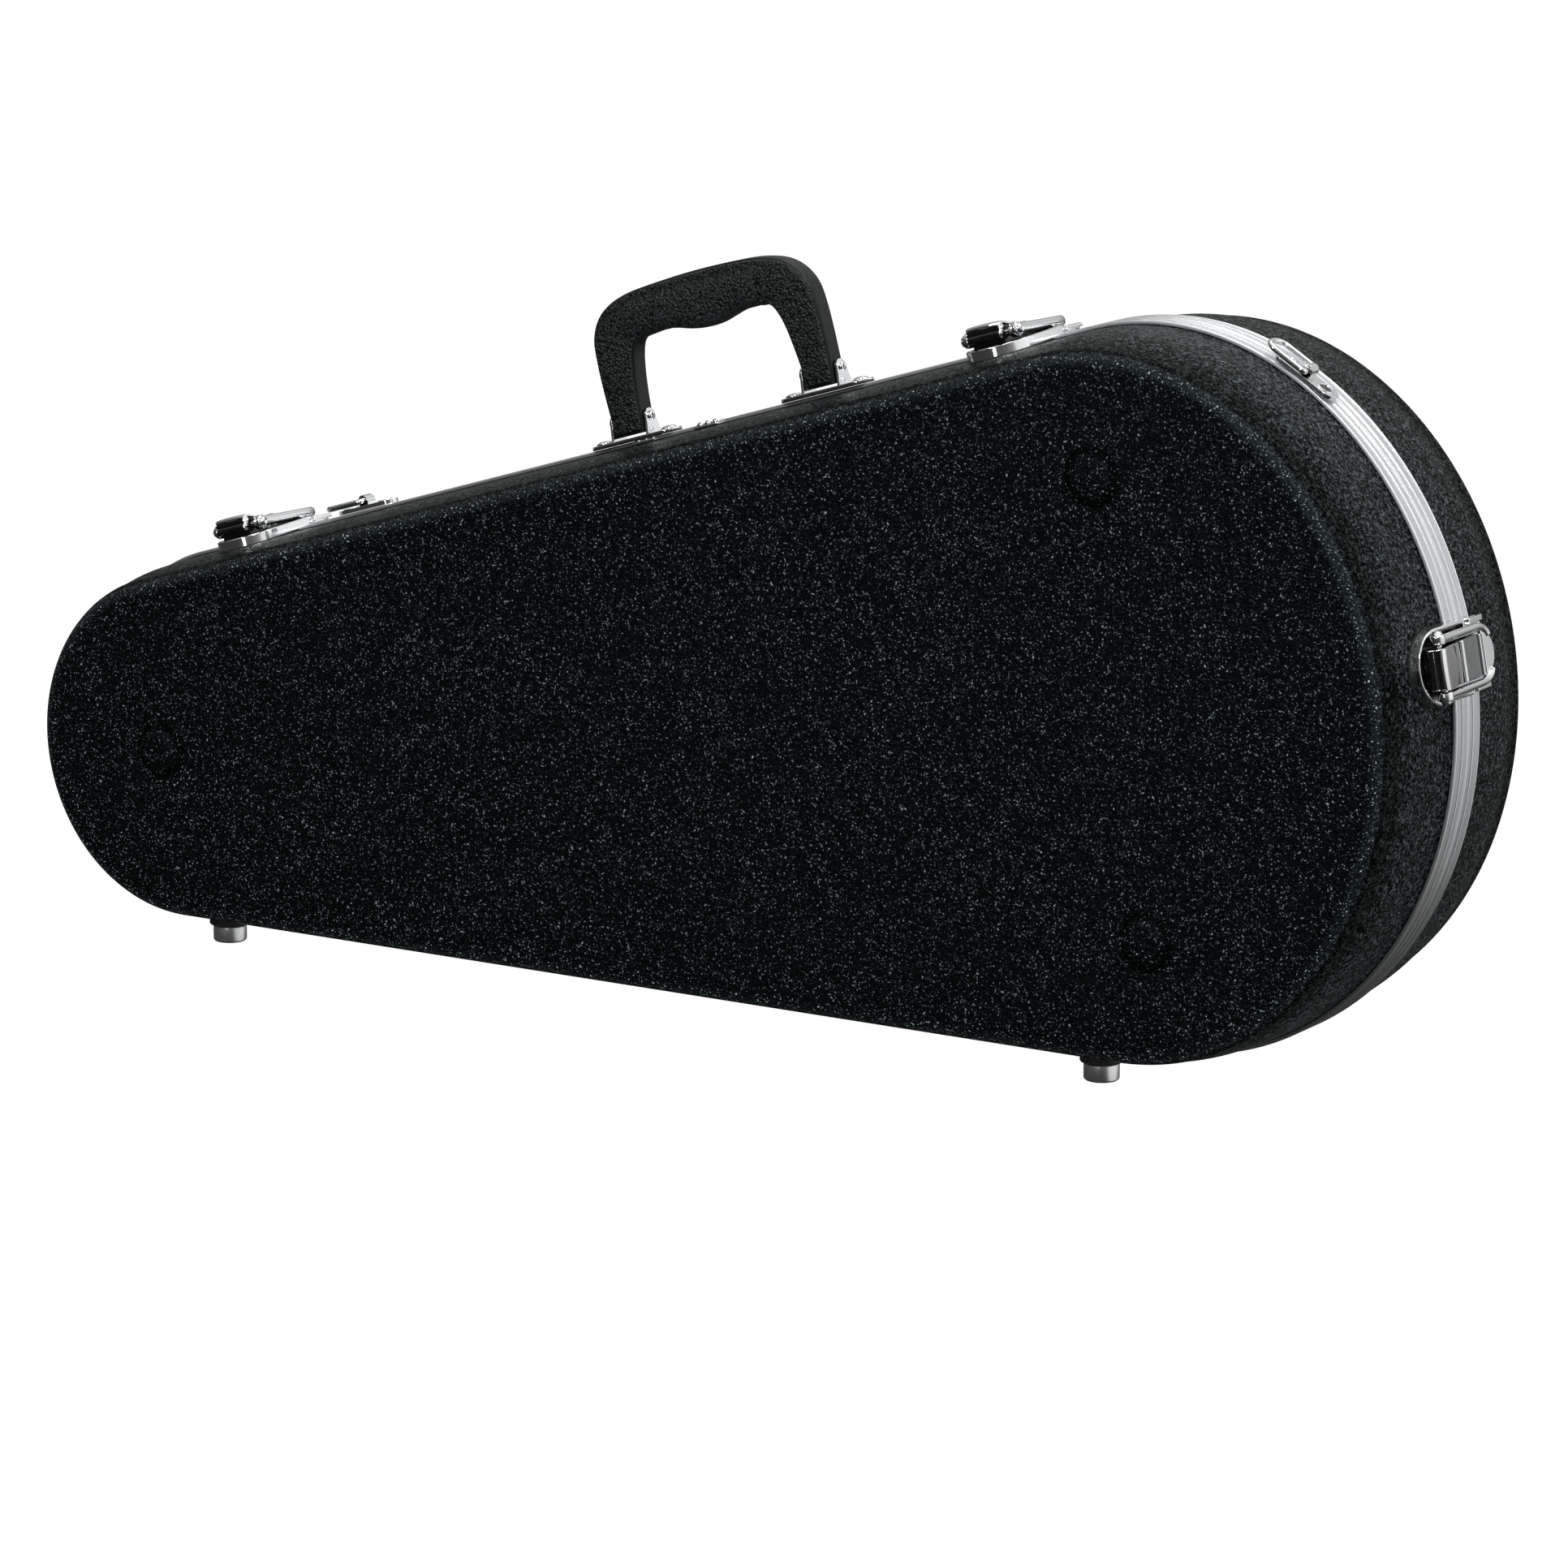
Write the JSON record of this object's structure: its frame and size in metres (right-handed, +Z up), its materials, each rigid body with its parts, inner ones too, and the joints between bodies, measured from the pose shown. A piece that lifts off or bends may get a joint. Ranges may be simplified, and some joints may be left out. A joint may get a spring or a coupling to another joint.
{
  "type": "violin case",
  "caption": "Hard teardrop violin case standing on edge: two moulded shells with aluminium valances, hinged lid, draw latches, padded handle, strap rings and a fitted plush interior.",
  "frame": {"origin": "middle of the bounding box at its bottom, where the four feet stand", "axes": "+X along the case to its big end, -Y out of the base half's face, +Y out of the lid half's face, +Z up from the feet to the handle"},
  "size_m": [0.8104, 0.152, 0.3766],
  "materials": {
    "shell_base": "fine leather grain, satin",
    "shell_lid": "fine leather grain, satin",
    "valance": "ribbed, bright anodised",
    "valance_clip": "bright",
    "base_liner": "short plush over foam",
    "lid_liner": "short plush over foam",
    "cradle": "short plush over foam",
    "compartment_lid": "plush over board",
    "bow_clip": "satin black",
    "hinge": "bright nickel",
    "foot_pad": "black, matt",
    "foot_cup": "bright nickel",
    "latch_pad": "black, matt",
    "latch_hasp": "grey, brushed",
    "latch_chrome": "bright nickel",
    "handle_core": "black, stitched",
    "handle_grip": "black, grained, stitched",
    "bracket": "bright nickel",
    "strap_fitting": "bright nickel"
  },
  "bodies": {
    "base": {"base_shell": "shell_base", "base_valance": "valance", "base_liner": "base_liner", "neck_cradle": "cradle", "hinge_base_leaf_1": "hinge", "hinge_pin_1": "hinge", "hinge_base_leaf_2": "hinge", "hinge_pin_2": "hinge", "hinge_base_leaf_3": "hinge", "hinge_pin_3": "hinge", "foot_pad_base_1": "foot_pad", "foot_cup_base_1": "foot_cup", "foot_pad_base_2": "foot_pad", "foot_cup_base_2": "foot_cup", "latch_pad_left": "latch_pad", "latch_plate_left": "latch_chrome", "latch_pin_left": "latch_chrome", "latch_pad_right": "latch_pad", "latch_plate_right": "latch_chrome", "latch_pin_right": "latch_chrome", "latch_pad_end": "latch_pad", "latch_plate_end": "latch_chrome", "latch_pin_end": "latch_chrome", "handle_bracket_left": "bracket", "handle_pin_left": "bracket", "handle_bracket_right": "bracket", "handle_pin_right": "bracket", "valance_clip_1": "valance_clip", "valance_clip_2": "valance_clip", "strap_plate_left": "strap_fitting", "strap_plate_right": "strap_fitting"},
    "lid": {"lid_shell": "shell_lid", "lid_valance": "valance", "lid_liner": "lid_liner", "hinge_lid_leaf_1": "hinge", "hinge_lid_leaf_2": "hinge", "hinge_lid_leaf_3": "hinge", "foot_pad_lid_1": "foot_pad", "foot_cup_lid_1": "foot_cup", "foot_pad_lid_2": "foot_pad", "foot_cup_lid_2": "foot_cup", "latch_catch_left": "latch_chrome", "latch_catch_right": "latch_chrome", "latch_catch_end": "latch_chrome"},
    "handle": {"handle_core": "handle_core", "handle_grip": "handle_grip"},
    "strap_ring_left": {"strap_ring_left": "strap_fitting"},
    "strap_ring_right": {"strap_ring_right": "strap_fitting"},
    "compartment_lid_upper": {"compartment_lid_upper": "compartment_lid"},
    "compartment_lid_lower": {"compartment_lid_lower": "compartment_lid"},
    "bow_clip_upper": {"bow_clip_upper": "bow_clip"},
    "bow_clip_lower": {"bow_clip_lower": "bow_clip"},
    "latch_lever_left": {"latch_lever_left": "latch_chrome"},
    "latch_hasp_left": {"latch_hasp_left": "latch_hasp"},
    "latch_lever_right": {"latch_lever_right": "latch_chrome"},
    "latch_hasp_right": {"latch_hasp_right": "latch_hasp"},
    "latch_lever_end": {"latch_lever_end": "latch_chrome"},
    "latch_hasp_end": {"latch_hasp_end": "latch_hasp"}
  },
  "joints": [
    {"name": "lid_hinge", "type": "hinge", "parent": "base", "child": "lid", "pos_m": [-0.02557, 0, 0.0036], "axis": [-1, 0, 0], "range_deg": [0, 100]},
    {"name": "handle_pivot", "type": "hinge", "parent": "base", "child": "handle", "pos_m": [-0.01107, -0.008, 0.30371], "axis": [0.9583, 0, 0.2857], "range_deg": [-80, 80]},
    {"name": "strap_ring_left_swing", "type": "hinge", "parent": "base", "child": "strap_ring_left", "pos_m": [-0.23351, -0.0064, 0.23082], "axis": [0, 1, 0], "range_deg": [0, 170]},
    {"name": "strap_ring_right_swing", "type": "hinge", "parent": "base", "child": "strap_ring_right", "pos_m": [0.3115, -0.0064, 0.34173], "axis": [0, 1, 0], "range_deg": [0, 170]},
    {"name": "latch_lever_left_hinge", "type": "hinge", "parent": "base", "child": "latch_lever_left", "pos_m": [-0.29266, -0.0365, 0.21569], "axis": [0.9583, 0, 0.2857], "range_deg": [0, 120]},
    {"name": "latch_hasp_left_hinge", "type": "hinge", "parent": "latch_lever_left", "child": "latch_hasp_left", "pos_m": [-0.29286, -0.0156, 0.21636], "axis": [0.9583, 0, 0.2857], "range_deg": [0, 60]},
    {"name": "latch_lever_right_hinge", "type": "hinge", "parent": "base", "child": "latch_lever_right", "pos_m": [0.15775, -0.0365, 0.34997], "axis": [0.9583, 0, 0.2857], "range_deg": [0, 120]},
    {"name": "latch_hasp_right_hinge", "type": "hinge", "parent": "latch_lever_right", "child": "latch_hasp_right", "pos_m": [0.15755, -0.0156, 0.35064], "axis": [0.9583, 0, 0.2857], "range_deg": [0, 60]},
    {"name": "latch_lever_end_hinge", "type": "hinge", "parent": "base", "child": "latch_lever_end", "pos_m": [0.39789, -0.0365, 0.21447], "axis": [0.184, 0, -0.9829], "range_deg": [0, 120]},
    {"name": "latch_hasp_end_hinge", "type": "hinge", "parent": "latch_lever_end", "child": "latch_hasp_end", "pos_m": [0.39858, -0.0156, 0.2146], "axis": [0.184, 0, -0.9829], "range_deg": [0, 60]},
    {"name": "compartment_lid_upper_hinge", "type": "hinge", "parent": "base", "child": "compartment_lid_upper", "pos_m": [-0.11521, -0.0022, 0.16943], "axis": [-0.9895, 0, -0.1444], "range_deg": [0, 88]},
    {"name": "compartment_lid_lower_hinge", "type": "hinge", "parent": "base", "child": "compartment_lid_lower", "pos_m": [-0.10424, -0.0022, 0.09423], "axis": [0.9895, 0, 0.1444], "range_deg": [0, 88]},
    {"name": "bow_clip_upper_turn", "type": "hinge", "parent": "lid", "child": "bow_clip_upper", "pos_m": [0.29924, 0.05, 0.23798], "axis": [0, 1, 0], "range_deg": [0, 90]},
    {"name": "bow_clip_lower_turn", "type": "hinge", "parent": "lid", "child": "bow_clip_lower", "pos_m": [0.31252, 0.05, 0.14695], "axis": [0, 1, 0], "range_deg": [0, 90]}
  ]
}
